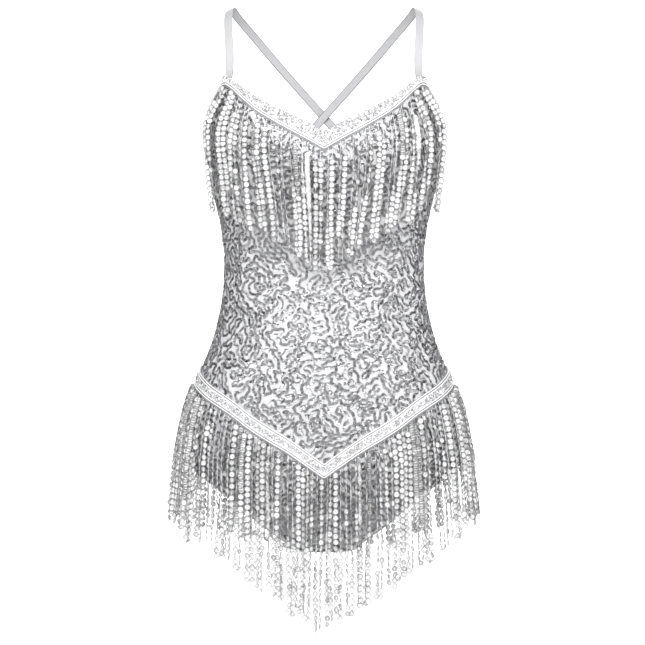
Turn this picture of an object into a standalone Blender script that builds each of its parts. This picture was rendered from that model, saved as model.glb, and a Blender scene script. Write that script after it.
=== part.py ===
"""Latin dance leotard in sequinned stretch cloth, filled out as it is worn, with nobody in it.

Metres, +Z up, front towards -Y. The origin is between the wearer's shoulders, level with the
underside of the two straps where they pass over them, and the side seams lie near y = 0.
"""

import math

import bpy
import numpy as np

# Cloth and trim
WALL = 0.0015
TRIM = 0.0015
TRIM_LIFT = 0.0004
HEADER_LIFT = 0.0006
HALF_SEAM = 0.00025
HALF_CROTCH_SEAM = 0.0004

FRONT, BACK = -1, 1
RIGHT_ANGLE = math.pi / 2

# The shape of a horizontal section: an ellipse, made a little square at the shoulders of its curve
SQUARENESS = 0.035

# Torso sections from the top downwards. Angles in every table are degrees from the centre line.
SECTION_COLUMNS = ("height", "half_width", "front_depth", "back_depth")
SECTIONS = (
    (-0.087, 0.1500, 0.0940, 0.1010),
    (-0.128, 0.1515, 0.1060, 0.1040),
    (-0.166, 0.1525, 0.1120, 0.1020),
    (-0.205, 0.1490, 0.1120, 0.0970),
    (-0.243, 0.1390, 0.1010, 0.0890),
    (-0.282, 0.1305, 0.0900, 0.0815),
    (-0.322, 0.1270, 0.0845, 0.0785),
    (-0.371, 0.1300, 0.0880, 0.0840),
    (-0.422, 0.1415, 0.0965, 0.0990),
    (-0.480, 0.1640, 0.1045, 0.1160),
    (-0.538, 0.1760, 0.1075, 0.1240),
    (-0.575, 0.1805, 0.1070, 0.1240),
)
HIP_LEVEL = -0.575
# Below the hip line a level is the distance round the seat, and the sections turn about the hip axis
SEAT_RADIUS = 0.110
CROTCH_DEPTH = 0.118

# The two bust cups of the front panel
CUP_ANGLE, CUP_HALF_ANGLE = math.radians(33), math.radians(17)
CUP_LEVEL, CUP_ABOVE, CUP_BELOW = -0.190, 0.052, 0.036
CUP_SWELL = 0.017

# Edges of the panels and lines of the bands, from the centre line to the side seam
LINE_COLUMNS = ("angle", "level")
NECKLINE = (
    (0, -0.1615), (7, -0.1520), (15, -0.1412), (23, -0.1300), (31, -0.1190), (39, -0.1060),
    (46, -0.0945), (51, -0.0895), (55, -0.0920), (60, -0.1030), (66, -0.1160), (74, -0.1325),
    (82, -0.1470), (90, -0.1580),
)
BACK_EDGE = ((0, -0.2620), (20, -0.2580), (41, -0.2430), (60, -0.2150), (75, -0.1840), (90, -0.1580))
HIP_LINE_FRONT = (
    (0, -0.5765), (7, -0.5605), (15, -0.5435), (23, -0.5295), (31, -0.5155), (39, -0.5005),
    (46, -0.4905), (55, -0.4810), (66, -0.4710), (78, -0.4635), (90, -0.4560),
)
HIP_LINE_BACK = ((0, -0.4900), (30, -0.4800), (60, -0.4650), (90, -0.4560))

# The leg opening: how far round from the centre line the cloth reaches as the seat turns under
LEG_COLUMNS = ("turn", "edge_angle")
LEG_FRONT = ((0, 90), (7, 76), (16, 61), (28, 44.5), (42, 30.5), (56, 20.5), (70, 14), (90, 13))
LEG_BACK = ((0, 90), (7, 78), (16, 65), (28, 50), (42, 36), (56, 25), (70, 17), (90, 13))

DROP_COLUMNS = ("angle", "drop")
NECK_BAND = ((0, 0.0230), (27, 0.0175), (39, 0.0135), (51, 0.0118), (55, 0.0110), (90, 0.0110))
BINDING_DROP = 0.008
HIP_BAND_DROP = 0.0185
STRAP_CORNER = math.radians(55)

# Column angles of a panel's grid, and how many rows lie between its lines
GRID_ANGLES = (0, 7, 15, 23, 31, 39, 46, 51, 55, 60, 66, 74, 82, 90)
ROWS_BODICE, ROWS_HIP, ROWS_SEAT = 14, 2, 7
HIP_ROW_GAP = 0.012

# Fringe: each strand hangs from a narrow header tape under its band
HEADER_GAP, HEADER_HEIGHT = 0.0003, 0.0030
STRAND_WIDTH, STRAND_TIP = 0.0042, 0.0026
STRAND_SPACING = 0.0080
NECK_STRAND, CORNER_LONGER = 0.143, 0.012
HIP_STRAND, HIP_SHORTER = 0.190, 0.022
STRAND_START = 0.006
STRAND_CLEAR = 0.0035
NECK_FALL_IN, HIP_FALL_IN = 0.10, 0.03
NECK_FAN, FAN_START, FAN_POWER, FAN_SHARE = math.radians(27), math.radians(38), 1.7, 0.35
HIP_FLARE = 0.011
COLUMN_CLEAR = 0.0005
LENGTH_SPREAD = 0.05

# Straps: flat elastic. Rows are the centre line of the wearer's right strap where it is free.
STRAP_WIDTH, STRAP_GAP = 0.0105, 0.0009
STRAP_FRONT_ANGLE, STRAP_BACK_ANGLE = math.radians(51), math.radians(41)
STRAP_COLUMNS = ("across", "back", "height")
STRAP_ROUTE = (
    (-0.1190, -0.0530, -0.0680),
    (-0.1210, -0.0400, -0.0340),
    (-0.1215, -0.0190, -0.0085),
    (-0.1185, 0.0020, TRIM / 2),
    (-0.1105, 0.0215, -0.0085),
    (-0.0890, 0.0510, -0.0320),
    (-0.0560, 0.0790, -0.0690),
    (0.0000, 0.0985, -0.1310),
    (0.0500, 0.0915, -0.1890),
)
STRAP_LAP_FRONT, STRAP_LAP_BACK = (0.020, 0.004), (0.001, 0.012)
STRAP_STEPS = 44
CROSSING_SPREAD, CROSSING_SHIFT = 0.028, 0.0014

MATERIALS = {
    "sequin_cloth": ((0.80, 0.80, 0.81), 0.32, 0.55),
    "sequin_trim": ((0.86, 0.86, 0.87), 0.40, 0.35),
    "stretch_binding": ((0.84, 0.84, 0.85), 0.60, 0.10),
    "sequin_fringe": ((0.83, 0.83, 0.84), 0.28, 0.50),
    "strap_elastic": ((0.82, 0.82, 0.83), 0.70, 0.00),
}


def column(table, names, name):
    """One named column of a table, as an array."""
    return np.array([row[names.index(name)] for row in table], float)


def smooth(at, knots, values):
    """A curve through the knots, with the slope at each taken from its neighbours."""
    slopes = np.gradient(values, knots)
    at = np.clip(at, knots[0], knots[-1])
    i = np.clip(np.searchsorted(knots, at, side="right") - 1, 0, len(knots) - 2)
    step = knots[i + 1] - knots[i]
    u = (at - knots[i]) / step
    ends = values[i] * (1 + 2 * u) * (1 - u) ** 2 + values[i + 1] * u * u * (3 - 2 * u)
    return ends + step * u * (1 - u) * (slopes[i] * (1 - u) - slopes[i + 1] * u)


def section_size(side, height):
    """Half width and depth of the torso at a height."""
    knots = column(SECTIONS, SECTION_COLUMNS, "height")[::-1]
    depth_name = "front_depth" if side == FRONT else "back_depth"
    half_width = column(SECTIONS, SECTION_COLUMNS, "half_width")[::-1]
    depth = column(SECTIONS, SECTION_COLUMNS, depth_name)[::-1]
    return smooth(height, knots, half_width), smooth(height, knots, depth)


def cup_swell(side, angle, height):
    """How far the bust cups push the cloth out."""
    if side == BACK:
        return np.zeros_like(angle)
    spread = np.where(height > CUP_LEVEL, CUP_ABOVE, CUP_BELOW)
    round_it = np.exp(-(((np.abs(angle) - CUP_ANGLE) / CUP_HALF_ANGLE) ** 2) / 2)
    return CUP_SWELL * round_it * np.exp(-(((height - CUP_LEVEL) / spread) ** 2) / 2)


def section_shape(side, angle, height, turn):
    """How far a point of a section lies across, and out from the torso's axis."""
    half_width, depth = section_size(side, height)
    depth = depth + (CROTCH_DEPTH - depth) * np.sin(turn) ** 2
    square = 1 + SQUARENESS * np.sin(2 * angle) ** 2
    swell = cup_swell(side, angle, height)
    return (half_width * square + swell) * np.sin(angle), (depth * square + swell) * np.cos(angle)


def surface(side, angle, level):
    """Points of the cloth's outer face. Below the hip line a level turns under the seat."""
    angle, level = np.broadcast_arrays(np.asarray(angle, float), np.asarray(level, float))
    height = np.maximum(level, HIP_LEVEL)
    turn = (height - level) / SEAT_RADIUS
    across, outward = section_shape(side, angle, height, turn)
    return np.stack([across, side * outward * np.cos(turn), height - outward * np.sin(turn)], -1)


def normal(side, angle, level):
    """Outward unit normals of the cloth."""
    step = 1e-4
    round_it = surface(side, angle + step, level) - surface(side, angle - step, level)
    up = surface(side, angle, level + step) - surface(side, angle, level - step)
    found = np.cross(round_it, up) * -side
    return found / np.linalg.norm(found, axis=-1, keepdims=True)


def line_level(line, angle):
    """The level of a line at an angle: smooth through its points, straight between grid columns."""
    angles = np.radians(column(line, LINE_COLUMNS, "angle"))
    columns = np.radians(GRID_ANGLES)
    return np.interp(np.abs(angle), columns, smooth(columns, angles, column(line, LINE_COLUMNS, "level")))


def top_level(side, angle):
    return line_level(NECKLINE if side == FRONT else BACK_EDGE, angle)


def neck_drop(angle):
    """How far the neck band reaches down from the neckline."""
    angles = np.radians(column(NECK_BAND, DROP_COLUMNS, "angle"))
    columns = np.radians(GRID_ANGLES)
    drops = np.interp(columns, angles, column(NECK_BAND, DROP_COLUMNS, "drop"))
    return np.interp(np.abs(angle), columns, drops)


def hip_level(side, angle):
    return line_level(HIP_LINE_FRONT if side == FRONT else HIP_LINE_BACK, angle)


def leg_edge(side, turn):
    """The angle at which a panel ends on the leg opening."""
    table = LEG_FRONT if side == FRONT else LEG_BACK
    turns = np.radians(column(table, LEG_COLUMNS, "turn"))
    return smooth(turn, turns, np.radians(column(table, LEG_COLUMNS, "edge_angle")))


def seam_angle():
    return RIGHT_ANGLE - HALF_SEAM / section_size(FRONT, HIP_LEVEL)[1]


def grid_shares():
    """The columns of a panel as shares of the way from the centre line to its edge."""
    half = np.array(GRID_ANGLES) / GRID_ANGLES[-1]
    return np.concatenate([-half[:0:-1], half])


def between(first, last, count):
    """Evenly spaced rows from the first line on, short of the last."""
    return [first + (last - first) * share for share in np.arange(count) / count]


def panel_lines(side):
    """A panel's grid as rows of (angles, levels), from its top edge to the crotch."""
    shares = grid_shares()
    angles = shares * seam_angle()
    top = top_level(side, angles)
    hip = hip_level(side, angles)
    rows = [top, top - BINDING_DROP, top - neck_drop(angles)]
    rows += between(rows[-1], hip, ROWS_BODICE)[1:]
    hip_low = hip - HIP_BAND_DROP
    profile = (hip_low - hip_low[0]) / (hip_low.min() - hip_low[0])
    middle = min(hip_low.min(), HIP_LEVEL) - HIP_ROW_GAP
    first_seat = HIP_LEVEL + (middle - HIP_LEVEL) * profile
    rows += [hip] + between(hip_low, first_seat, ROWS_HIP)
    lines = [(angles, row) for row in rows]
    last_turn = RIGHT_ANGLE - HALF_CROTCH_SEAM / CROTCH_DEPTH
    for turn in np.linspace(0, last_turn, ROWS_SEAT + 1):
        edge = HIP_LEVEL - SEAT_RADIUS * turn
        centre = middle + (HIP_LEVEL - SEAT_RADIUS * last_turn - middle) * turn / last_turn
        reach = min(leg_edge(side, turn), seam_angle())
        lines.append((shares * reach, edge + (centre - edge) * profile))
    return lines


def grid_points(side, lines, lift=0.0):
    """Surface points of (angles, levels) rows, moved out by a lift."""
    return [surface(side, a, q) + lift * normal(side, a, q) for a, q in lines]


def grid_faces(rows, columns):
    """Quads of a grid whose points are numbered row by row."""
    faces = []
    for r in range(rows - 1):
        for c in range(columns - 1):
            corner = r * columns + c
            faces.append((corner, corner + columns, corner + columns + 1, corner + 1))
    return faces


def material(name):
    """The Principled material of that name."""
    found = bpy.data.materials.get(name)
    if found:
        return found
    colour, roughness, metallic = MATERIALS[name]
    made = bpy.data.materials.new(name)
    made.use_nodes = True
    shader = made.node_tree.nodes["Principled BSDF"]
    shader.inputs["Base Color"].default_value = (*colour, 1)
    shader.inputs["Roughness"].default_value = roughness
    shader.inputs["Metallic"].default_value = metallic
    return made


def thick_object(name, points, faces, thickness, offset, material_name):
    """An open sheet of cloth with Solidify. Its faces are turned away from the torso's axis."""
    points = np.asarray(points, float).reshape(-1, 3)
    corners = points[np.array([face[:4] for face in faces])]
    centres = corners.mean(axis=1)
    facing = np.cross(corners[:, 2] - corners[:, 0], corners[:, 3] - corners[:, 1])
    axis = np.stack([centres[:, 0] * 0, centres[:, 1] * 0, np.maximum(centres[:, 2], HIP_LEVEL)], 1)
    if (facing * (centres - axis)).sum() < 0:
        faces = [face[::-1] for face in faces]
    mesh = bpy.data.meshes.new(name)
    mesh.from_pydata(points.tolist(), [], faces)
    mesh.shade_smooth()
    mesh.materials.append(material(material_name))
    made = bpy.data.objects.new(name, mesh)
    PARTS.objects.link(made)
    solidify = made.modifiers.new("thickness", "SOLIDIFY")
    solidify.thickness = thickness
    solidify.offset = offset
    return made


def panel(name, side):
    """The front or back panel, one wall from its top edge to the crotch seam."""
    rows = grid_points(side, panel_lines(side))
    faces = grid_faces(len(rows), len(rows[0]))
    return thick_object(name, rows, faces, WALL, -1, "sequin_cloth")


def applied_band(name, side, lines):
    """A band laid on a panel, made from the panel's own points and moved out."""
    rows = grid_points(side, lines, TRIM_LIFT)
    faces = grid_faces(len(rows), len(rows[0]))
    return thick_object(name, rows, faces, TRIM, 1, "sequin_trim")


def neck_band():
    """The V band along the front neckline, from strap to strap."""
    lines = panel_lines(FRONT)[:3]
    keep = np.abs(lines[0][0]) < STRAP_CORNER + 1e-6
    return applied_band("neck_band", FRONT, [(a[keep], q[keep]) for a, q in lines])


def hip_band(name, side):
    """The band round the hips, low in front and shallower behind."""
    start = 2 + ROWS_BODICE
    return applied_band(name, side, panel_lines(side)[start:start + 2])


def top_binding():
    """The narrow binding from one strap down its armhole, across the back and up to the other."""
    front, back = panel_lines(FRONT)[:2], panel_lines(BACK)[:2]
    gap = HALF_SEAM / section_size(FRONT, -0.15)[0]
    right = front[0][0] < -STRAP_CORNER - 2 * gap
    left = front[0][0] > STRAP_CORNER + 2 * gap
    corner = STRAP_CORNER + 2 * gap
    rows = []
    for drop in (0.0, BINDING_DROP):
        start = [np.array([-corner, corner]), top_level(FRONT, np.array([-corner, corner])) - drop]
        ends = surface(FRONT, *start) + TRIM_LIFT * normal(FRONT, *start)
        line = 0 if drop == 0.0 else 1
        f_points = grid_points(FRONT, [front[line]], TRIM_LIFT)[0]
        b_points = grid_points(BACK, [back[line]], TRIM_LIFT)[0]
        rows.append(np.concatenate(
            [ends[:1], f_points[right][::-1], b_points, f_points[left][::-1], ends[1:]]))
    faces = grid_faces(2, len(rows[0]))
    return thick_object("top_binding", rows, faces, TRIM, 1, "stretch_binding")


def hang_path(side, angle, start, segments, length, fan, flare, fall_in):
    """The line of one strand. It lies over what swells below its root and hangs free of the rest.

    It is led round the body by the fan angle, drifts outwards by the flare and, once clear of
    the body, leans back towards it by the fall."""
    fine = 80
    drop = np.linspace(0, length, fine)
    share = drop / length
    root = surface(side, angle, start)
    eased = np.minimum(share / FAN_SHARE, 1)
    angles = angle + fan * eased * eased * (3 - 2 * eased)
    heights = np.maximum(root[2] - drop, HIP_LEVEL)
    across, outward = section_shape(side, angles, heights, 0 * heights)
    hand = np.sign(angle or 1)
    fall = fall_in * drop
    across = hand * (np.maximum.accumulate(np.abs(across) + fall) - fall)
    outward = np.maximum.accumulate(outward + fall) - fall
    clear = HEADER_LIFT + STRAND_CLEAR * np.minimum(share * 3, 1) + flare * share ** 2
    line = np.stack([across + clear * np.sin(angles), side * (outward + clear * np.cos(angles)),
                     root[2] - drop], 1)
    along = np.concatenate([[0], np.cumsum(np.linalg.norm(np.diff(line, axis=0), axis=1))])
    at = np.linspace(STRAND_START, length, segments)
    return np.stack([np.interp(at, along, line[:, k]) for k in range(3)], 1)


def fringe(name, side, reach, line, strand, segments, seed):
    """A header tape on the cloth with strands hanging from its lower edge, cut as one sheet.

    The strand function gives a strand's length, fan, flare and fall for the angle of its root."""
    dense = np.linspace(-reach, reach, 400)
    edge = surface(side, dense, line(dense) - HEADER_HEIGHT)
    along = np.concatenate([[0], np.cumsum(np.linalg.norm(np.diff(edge, axis=0), axis=1))])
    count = 2 * int(along[-1] / STRAND_SPACING / 2)
    centres = (np.arange(count) + 0.5) * along[-1] / count
    edges = np.stack([centres - STRAND_WIDTH / 2, centres + STRAND_WIDTH / 2], 1)
    columns = np.radians(np.concatenate([-np.array(GRID_ANGLES[:0:-1]), GRID_ANGLES]))
    columns = np.interp(columns[np.abs(columns) < reach - 1e-3], dense, along)
    free = [c for c in columns if np.abs(c - centres).min() > STRAND_WIDTH / 2 + COLUMN_CLEAR]
    cuts = np.sort(np.concatenate([[0, along[-1]], edges.ravel(), free]))
    angles = np.interp(cuts, along, dense)
    rows = [(angles, line(angles)), (angles, line(angles) - HEADER_HEIGHT)]
    points = np.concatenate(grid_points(side, rows, HEADER_LIFT)).tolist()
    faces = grid_faces(2, len(angles))
    spread = np.random.default_rng(seed).uniform(-1, 1, count)
    for k in range(count):
        angle = np.interp(centres[k], along, dense)
        left = len(angles) + int(np.searchsorted(cuts, edges[k, 0]))
        right = left + 1
        across = np.array(points[right]) - np.array(points[left])
        across[2] = 0
        across /= np.linalg.norm(across)
        length, *lean = strand(angle)
        length *= 1 + LENGTH_SPREAD * spread[k]
        start = float(line(angle)) - HEADER_HEIGHT
        for j, spot in enumerate(hang_path(side, angle, start, segments, length, *lean)):
            half = (STRAND_WIDTH + (STRAND_TIP - STRAND_WIDTH) * (j + 1) / segments) / 2
            points += [(spot - half * across).tolist(), (spot + half * across).tolist()]
            faces.append((left, len(points) - 2, len(points) - 1, right))
            left, right = len(points) - 2, len(points) - 1
    return thick_object(name, points, faces, TRIM, 1, "sequin_fringe")


def neck_fringe():
    """The fringe of the neck band. Its outer strands are led round over the side of the bust."""
    def strand(angle):
        past = max(abs(angle) - FAN_START, 0) / (STRAP_CORNER - FAN_START)
        fan = math.copysign(NECK_FAN * past ** FAN_POWER, angle)
        return NECK_STRAND + CORNER_LONGER * past, fan, 0, NECK_FALL_IN

    def line(angle):
        return top_level(FRONT, angle) - neck_drop(angle) - HEADER_GAP

    return fringe("neck_fringe", FRONT, STRAP_CORNER, line, strand, 6, 3)


def hip_fringe(name, side, seed):
    """The fringe of one hip band, flaring at the side seams."""
    def strand(angle):
        out = math.sin(angle) ** 2
        return HIP_STRAND - HIP_SHORTER * out, 0, HIP_FLARE * out, HIP_FALL_IN

    def line(angle):
        return hip_level(side, angle) - HIP_BAND_DROP - HEADER_GAP

    return fringe(name, side, seam_angle(), line, strand, 4, seed)


def lap_points(side, angle, drops):
    """Where a strap lies on the inside of a panel, under its top edge: points and normals."""
    levels = top_level(side, angle) - np.array(drops)
    angles = np.full(len(drops), angle)
    out = normal(side, angles, levels)
    return surface(side, angles, levels) - (WALL + STRAP_GAP + TRIM / 2) * out, out


def strap(name, hand):
    """A shoulder strap, sewn inside the front, over the shoulder and across the back."""
    route = np.stack([column(STRAP_ROUTE, STRAP_COLUMNS, name) for name in STRAP_COLUMNS], 1)
    inner = np.stack([0.72 * route[:, 0], 0 * route[:, 0] + 0.005, np.minimum(route[:, 2], -0.070)], 1)
    facing = route - inner
    facing /= np.linalg.norm(facing, axis=1, keepdims=True)
    front, front_out = lap_points(FRONT, -STRAP_FRONT_ANGLE, STRAP_LAP_FRONT)
    back, back_out = lap_points(BACK, STRAP_BACK_ANGLE, STRAP_LAP_BACK)
    knots = np.concatenate([front, route, back])
    out = np.concatenate([front_out, facing, back_out])
    along = np.concatenate([[0], np.cumsum(np.linalg.norm(np.diff(knots, axis=0), axis=1))])
    at = np.linspace(0, along[-1], STRAP_STEPS)
    centre = np.stack([smooth(at, along, knots[:, k]) for k in range(3)], 1)
    out = np.stack([smooth(at, along, out[:, k]) for k in range(3)], 1)
    crossing = np.exp(-((centre[:, 0] / CROSSING_SPREAD) ** 2)) * (centre[:, 1] > 0)
    centre[:, 1] -= hand * CROSSING_SHIFT * crossing
    across = np.cross(np.gradient(centre, axis=0), out)
    across *= STRAP_WIDTH / 2 / np.linalg.norm(across, axis=1, keepdims=True)
    rows = np.stack([centre - across, centre + across], 1)
    rows[:, :, 0] *= -hand
    faces = grid_faces(len(rows), 2)
    return thick_object(name, rows, faces, TRIM, 0, "strap_elastic")


def build():
    panel("front_panel", FRONT)
    panel("back_panel", BACK)
    neck_band()
    hip_band("hip_band_front", FRONT)
    hip_band("hip_band_back", BACK)
    top_binding()
    strap("strap_right", -1)
    strap("strap_left", 1)
    neck_fringe()
    hip_fringe("hip_fringe_front", FRONT, 11)
    hip_fringe("hip_fringe_back", BACK, 12)


for leftover in list(bpy.data.objects):
    bpy.data.objects.remove(leftover)
PARTS = bpy.data.collections.new("latin_dance_leotard")
bpy.context.scene.collection.children.link(PARTS)
build()
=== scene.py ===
"""The looks of the latin dance leotard: sequinned cloth, fringe, bands, straps and the studio.

Metres, +Z up, front towards -Y. The cloth is drawn again in a finer form on the same sections as
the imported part, and everything that is sewn on it is placed by its angle round the body and its
level, the height on the torso and the distance round the seat below the hips.
"""

import math
from functools import partial

import bpy
import numpy as np
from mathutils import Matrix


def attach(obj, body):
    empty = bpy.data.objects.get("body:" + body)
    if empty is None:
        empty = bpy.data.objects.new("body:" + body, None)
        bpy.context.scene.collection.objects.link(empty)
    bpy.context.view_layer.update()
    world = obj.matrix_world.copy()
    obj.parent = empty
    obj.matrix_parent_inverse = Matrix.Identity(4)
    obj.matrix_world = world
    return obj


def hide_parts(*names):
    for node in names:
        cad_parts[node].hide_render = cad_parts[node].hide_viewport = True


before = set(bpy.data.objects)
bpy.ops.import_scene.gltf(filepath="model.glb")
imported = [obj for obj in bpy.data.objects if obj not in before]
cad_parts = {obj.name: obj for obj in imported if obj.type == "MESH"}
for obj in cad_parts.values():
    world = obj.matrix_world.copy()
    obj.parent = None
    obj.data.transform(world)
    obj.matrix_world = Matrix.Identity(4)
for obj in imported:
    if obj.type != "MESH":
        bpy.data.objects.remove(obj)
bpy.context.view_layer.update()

FRONT, BACK = -1, 1
RIGHT_ANGLE = math.pi / 2


def table(names, *rows):
    """A table as a dictionary of its named columns."""
    return dict(zip(names.split(), np.array(rows, float).T))


# The form of the cloth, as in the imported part
WALL = 0.0015
TRIM, TRIM_LIFT, HEADER_LIFT = 0.0015, 0.0004, 0.0006
HALF_SEAM, HALF_CROTCH_SEAM = 0.00025, 0.0004
SQUARENESS = 0.035
SECTIONS = table(
    "height half_width front_depth back_depth",
    (-0.575, 0.1805, 0.1070, 0.1240),
    (-0.538, 0.1760, 0.1075, 0.1240),
    (-0.480, 0.1640, 0.1045, 0.1160),
    (-0.422, 0.1415, 0.0965, 0.0990),
    (-0.371, 0.1300, 0.0880, 0.0840),
    (-0.322, 0.1270, 0.0845, 0.0785),
    (-0.282, 0.1305, 0.0900, 0.0815),
    (-0.243, 0.1390, 0.1010, 0.0890),
    (-0.205, 0.1490, 0.1120, 0.0970),
    (-0.166, 0.1525, 0.1120, 0.1020),
    (-0.128, 0.1515, 0.1060, 0.1040),
    (-0.087, 0.1500, 0.0940, 0.1010),
)
HIP_LEVEL, SEAT_RADIUS, CROTCH_DEPTH = -0.575, 0.110, 0.118
CUP_ANGLE, CUP_HALF_ANGLE = math.radians(33), math.radians(17)
CUP_LEVEL, CUP_ABOVE, CUP_BELOW, CUP_SWELL = -0.190, 0.052, 0.036, 0.017
NECKLINE = table(
    "angle level",
    (0, -0.1615), (7, -0.1520), (15, -0.1412), (23, -0.1300), (31, -0.1190), (39, -0.1060),
    (46, -0.0945), (51, -0.0895), (55, -0.0920), (60, -0.1030), (66, -0.1160), (74, -0.1325),
    (82, -0.1470), (90, -0.1580),
)
BACK_EDGE = table(
    "angle level",
    (0, -0.2620), (20, -0.2580), (41, -0.2430), (60, -0.2150), (75, -0.1840), (90, -0.1580),
)
HIP_LINE_FRONT = table(
    "angle level",
    (0, -0.5765), (7, -0.5605), (15, -0.5435), (23, -0.5295), (31, -0.5155), (39, -0.5005),
    (46, -0.4905), (55, -0.4810), (66, -0.4710), (78, -0.4635), (90, -0.4560),
)
HIP_LINE_BACK = table("angle level", (0, -0.4900), (30, -0.4800), (60, -0.4650), (90, -0.4560))
LEGS = table(
    "turn front_edge back_edge",
    (0, 90, 90), (7, 76, 78), (16, 61, 65), (28, 44.5, 50), (42, 30.5, 36), (56, 20.5, 25),
    (70, 14, 17), (90, 13, 13),
)
NECK_BAND = table(
    "angle drop",
    (0, 0.0230), (27, 0.0175), (39, 0.0135), (51, 0.0118), (55, 0.0110), (90, 0.0110),
)
BINDING_DROP, HIP_BAND_DROP = 0.008, 0.0185
STRAP_CORNER = math.radians(55)

# Fine grids of a panel and of a strip, and the thickness of the knit
PANEL_COLUMNS, BODICE_ROWS, SEAT_ROWS, STRIP_POINTS = 111, 110, 44, 240
KNIT_THICKNESS, BELOW_BAND = 0.0009, 0.012
CUT_TOP, CUT_LEVELS, CUT_ANGLES, OFF_CUT = -0.080, 500, 181, 10.0

# Sequinned cloth: one line of sequins wanders over a square field that is turned on the panel. It is
# bent by tight waves along its own run, by a sway and by a slow drift. Rows of both give the waves in
# radians a metre, their swing and the swing's own waves, and for the sway a ripple's waves each way.
LINE_FIELD, LINE_SPACING, LINE_WANDER, LINE_TURN = 0.86, 0.0058, 0.24, math.radians(32)
LINE_WAVE, WAVE_LENGTH, WAVE_SHIFT, SHIFTS_A_METRE = 0.0012, 0.0098, 1.5, 61
LINE_SWAY, LINE_DRIFT, RIPPLE = 0.000875, 0.0034, 0.6
SWAYS = ((190, 2, 70, 310, 120), (170, 2, 80, 290, -140))
DRIFTS = ((88, 1.7, 41), (97, 1.9, 37))
CLOTH_SEQUIN, CLOTH_PITCH, CLOTH_SEQUIN_LIFT = 0.0040, 0.0021, 0.0005
CLOTH_TILT, CLOTH_SCALE_TILT, CLOTH_SIZES = math.radians(6), math.radians(8), (0.92, 1.06)
CLOTH_CUP = (7, 0.14)
FIELD_TOP = -0.085
BAND_CLEAR, BAND_CLEAR_BELOW, LEG_CLEAR, CROTCH_CLEAR = 0.0012, 0.0010, 0.006, 0.002
SEAM_CLEAR_ANGLE = 0.008

# Fringe: strings of larger cupped sequins, in pairs that end in a loop or free. On some strings the
# sequins of the upper part lie close and turned. A disc is rings of (radius, height) and its sides.
NECK_SPACING, HIP_SPACING, PAIR_SPACING, STRING_SEQUIN = 0.0084, 0.0070, 0.0060, 0.0077
NECK_PITCH, HIP_PITCH, CLOSE_PITCH = 0.0069, 0.0075, 0.0030
LOOPED_SHARE, CLOSE_SHARE, FLAT_SHARE = 0.66, 0.28, 0.14
FLAT_TURN, SIDE_TURN, CLOSE_TURN = math.radians(32), math.radians(50), math.radians(80)
END_TURN = (math.radians(36), math.radians(70))
SIDE_SPREAD, CLOSE_SPREAD, TWIST, SEQUIN_TURN = 0.28, 0.14, 0.192, 0.24
SEQUIN_LEAN, LEAN_SPREAD = math.radians(5), math.radians(8)
CLOSE_STRETCH, BARE_STRETCH = (0.35, 0.8), (0.35, 1)
NECK_HUG, HUG_CLEAR = math.radians(43), 0.0030
STRING_CLEAR, CLEAR_SPREAD, STRING_ROOT_CLEAR, CLEAR_REACH = 0.0048, 0.0025, 0.0030, 0.2
SWAY, SWAY_WAVES = (0.0004, 0.0026), (0.8, 1.8)
LOOP_WIDTH, LOOP_SPREAD, LOOP_DEPTH = 0.0060, (-0.0006, 0.0014), 1.35
NECK_BARE, HIP_BARE = 0.024, 0.004
NECK_STRAND, CORNER_LONGER = 0.147, 0.012
HIP_STRAND, HIP_SHORTER, HIP_FLARE = 0.188, 0.022, 0.011
NECK_FALL_IN, HIP_FALL_IN = 0.10, 0.03
NECK_FAN, FAN_START, FAN_POWER, FAN_SHARE = math.radians(27), math.radians(38), 1.7, 0.35
ROOT_SPREAD, LENGTH_SPREAD, LOOSE_SPREAD = 0.0008, 0.035, 1.2
HEADER_GAP, HEADER_HEIGHT = 0.0003, 0.0022
TAPE_LIFT, TAPE_THICKNESS = 0.0005, 0.0009
STRING_POINTS, THREAD_PITCH, THREAD_RADIUS = 90, 0.006, 0.00028
STRING_DISC, STRING_SIZES = (((0.14, 0.0), (0.66, 0.03), (1.0, 0.26)), 12), (0.94, 1.05)
STRING_START, PITCH_SPREAD, PINCH_POWER, LOOP_STEPS, EDGE_POINTS = 0.4, (0.95, 1.05), 6, 9, 500

# Bands, their dense sequins and larger accent sequins
BAND_SEQUIN, BAND_PITCH, BAND_JITTER, BAND_SIZES = 0.0023, 0.0016, 0.38, (0.8, 1.1)
BAND_DISC, BAND_LEAN, BAND_SEQUIN_LIFT, LIFT_SPREAD = (((0.14, 0.08), (1.0, 0.0)), 7), 0.42, 0.0003, 0.0006
BAND_ROWS, BAND_MARGIN, BAND_WAVE = 9, 0.03, 0.6
CORD_RADIUS, CORD_INSET, CORD_SPACING = 0.00070, 0.0008, 0.0031
CORD_ZONE, BAND_CROWN = 0.0050, 0.0002
ACCENT_SEQUIN, ACCENT_SPACING, ACCENT_SPREAD, ACCENT_OFF = 0.0052, 0.031, 0.007, 0.003
ACCENT_LEAN, ACCENT_LIFT = 0.12, 0.0012

# Binding
BINDING_ROWS, BINDING_POINTS = 7, {FRONT: 60, BACK: 160}
BINDING_THICKNESS, BINDING_LIFT, BINDING_CROWN, BINDING_PAST_STRAP = 0.0008, 0.0004, 0.0006, 0.003

# Stitches
STITCH_PITCH, STITCH_LENGTH, STITCH_RADIUS = 0.0027, 0.0021, 0.00022
HEM_INSETS, HEM_STITCH_LIFT, BINDING_STITCH_LIFT = (0.0022, 0.0044), 0.0003, 0.0005
HEM_END_TURN, HEM_POINTS = 0.02, 200

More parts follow.
